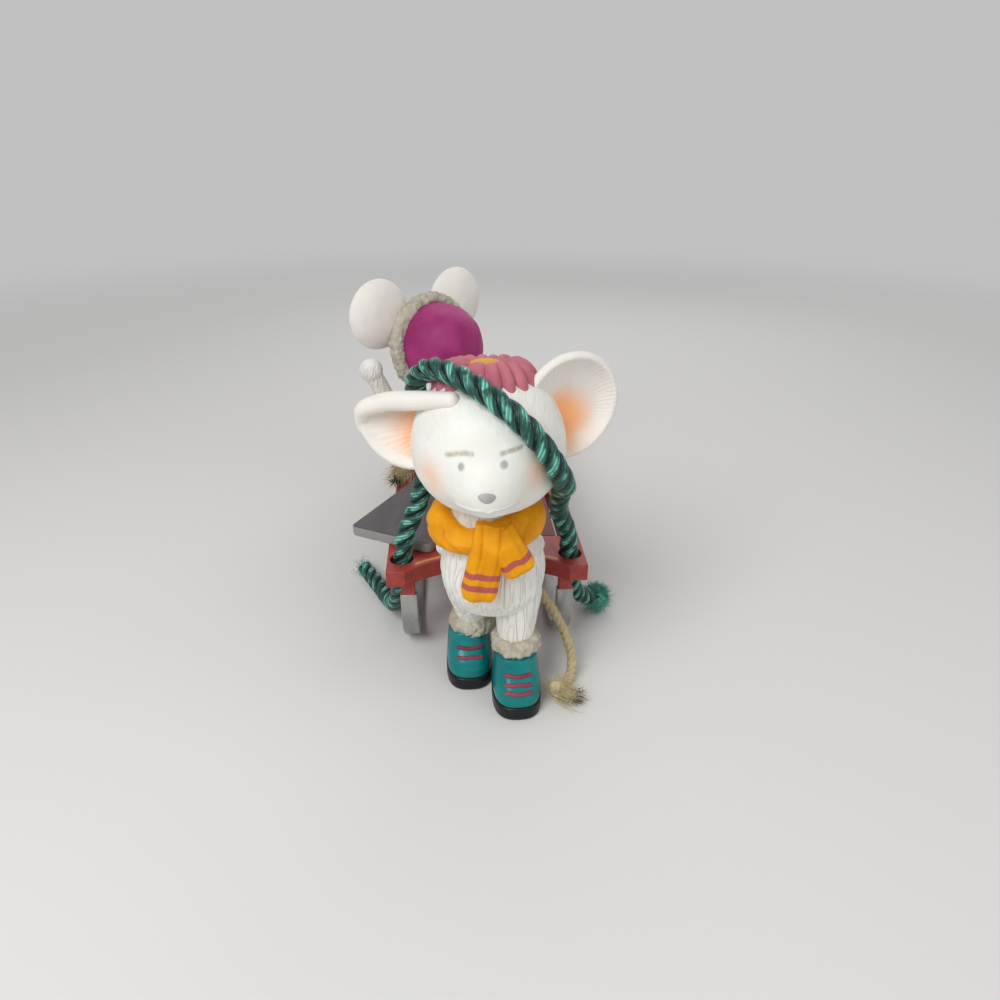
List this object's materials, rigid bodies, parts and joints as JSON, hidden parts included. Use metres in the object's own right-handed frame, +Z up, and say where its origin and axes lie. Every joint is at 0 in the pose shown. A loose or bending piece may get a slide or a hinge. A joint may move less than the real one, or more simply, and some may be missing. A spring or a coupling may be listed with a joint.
{
  "type": "mouse and sled figurine",
  "caption": "Walking mouse figurine in cap, scarf and boots, with a rope over its head that pulls a sled carrying a hooded mouse and a shovel.",
  "frame": {"origin": "on the floor, at the middle of the footprint of all pieces but the cords", "axes": "+Z up, the walking mouse looks along -Y, the sled follows towards +Y, +X to the right of a viewer who faces the mouse"},
  "size_m": [0.0506, 0.1162, 0.06],
  "materials": {
    "black_paint": "satin",
    "brown_paint": "satin",
    "cream_cord": "fuzzy twisted cotton cord",
    "deck_paint": "satin",
    "ear_paint": "matt, peach fading to white at the rim",
    "fur_paint": "matt, lumpy fur",
    "green_cord": "satin twisted cord",
    "grey_paint": "matt",
    "magenta_paint": "matt",
    "mauve_paint": "satin",
    "ochre_paint": "matt",
    "red_paint": "satin",
    "rose_paint": "matt",
    "silver_paint": "silver satin",
    "steel_grey_paint": "satin",
    "teal_gloss": "gloss",
    "white_paint": "matt, carved fur",
    "yellow_paint": "matt, with mauve stripes"
  },
  "bodies": {
    "mouse": {"boot_laces": "mauve_paint", "cap_button": "ochre_paint", "knit_cap": "rose_paint", "mouse_body": "white_paint", "mouse_head": "white_paint", "mouse_left_arm": "white_paint", "mouse_left_boot": "teal_gloss", "mouse_left_boot_sole": "black_paint", "mouse_left_ear": "ear_paint", "mouse_left_fur_cuff": "fur_paint", "mouse_nose": "grey_paint", "mouse_right_arm": "white_paint", "mouse_right_boot": "teal_gloss", "mouse_right_boot_sole": "black_paint", "mouse_right_ear": "ear_paint", "mouse_right_fur_cuff": "fur_paint", "mouse_tail_cord": "cream_cord", "mouse_tail_tassel": "cream_cord", "rope_left_drop": "green_cord", "rope_over_head": "green_cord", "rope_right_drop": "green_cord", "scarf_long_end": "yellow_paint", "scarf_short_end": "yellow_paint", "scarf_wrap": "yellow_paint"},
    "sled": {"deck_bearers": "deck_paint", "deck_board_1": "deck_paint", "deck_board_2": "deck_paint", "deck_board_3": "deck_paint", "rider_body": "white_paint", "rider_head": "white_paint", "rider_hood": "magenta_paint", "rider_hood_trim": "fur_paint", "rider_left_arm": "white_paint", "rider_left_boot": "teal_gloss", "rider_left_boot_sole": "black_paint", "rider_left_ear": "ear_paint", "rider_left_fur_cuff": "fur_paint", "rider_nose": "grey_paint", "rider_right_arm": "white_paint", "rider_right_boot": "teal_gloss", "rider_right_boot_sole": "black_paint", "rider_right_ear": "ear_paint", "rider_right_fur_cuff": "fur_paint", "rider_tail_cord": "cream_cord", "rider_tail_tassel": "cream_cord", "rope_left_end": "green_cord", "rope_right_end": "green_cord", "shovel_blade": "steel_grey_paint", "shovel_grip": "brown_paint", "shovel_shaft": "brown_paint", "sled_front_bar": "red_paint", "sled_left_posts": "red_paint", "sled_left_rail": "red_paint", "sled_left_runner": "silver_paint", "sled_right_posts": "red_paint", "sled_right_rail": "red_paint", "sled_right_runner": "silver_paint"}
  },
  "joints": [
    {"name": "sled_slide", "type": "slide", "parent": "mouse", "child": "sled", "axis": [0, 1, 0], "range_m": [-0.0015, 0.006], "deforming": ["rope_left_drop", "rope_right_drop"]}
  ]
}
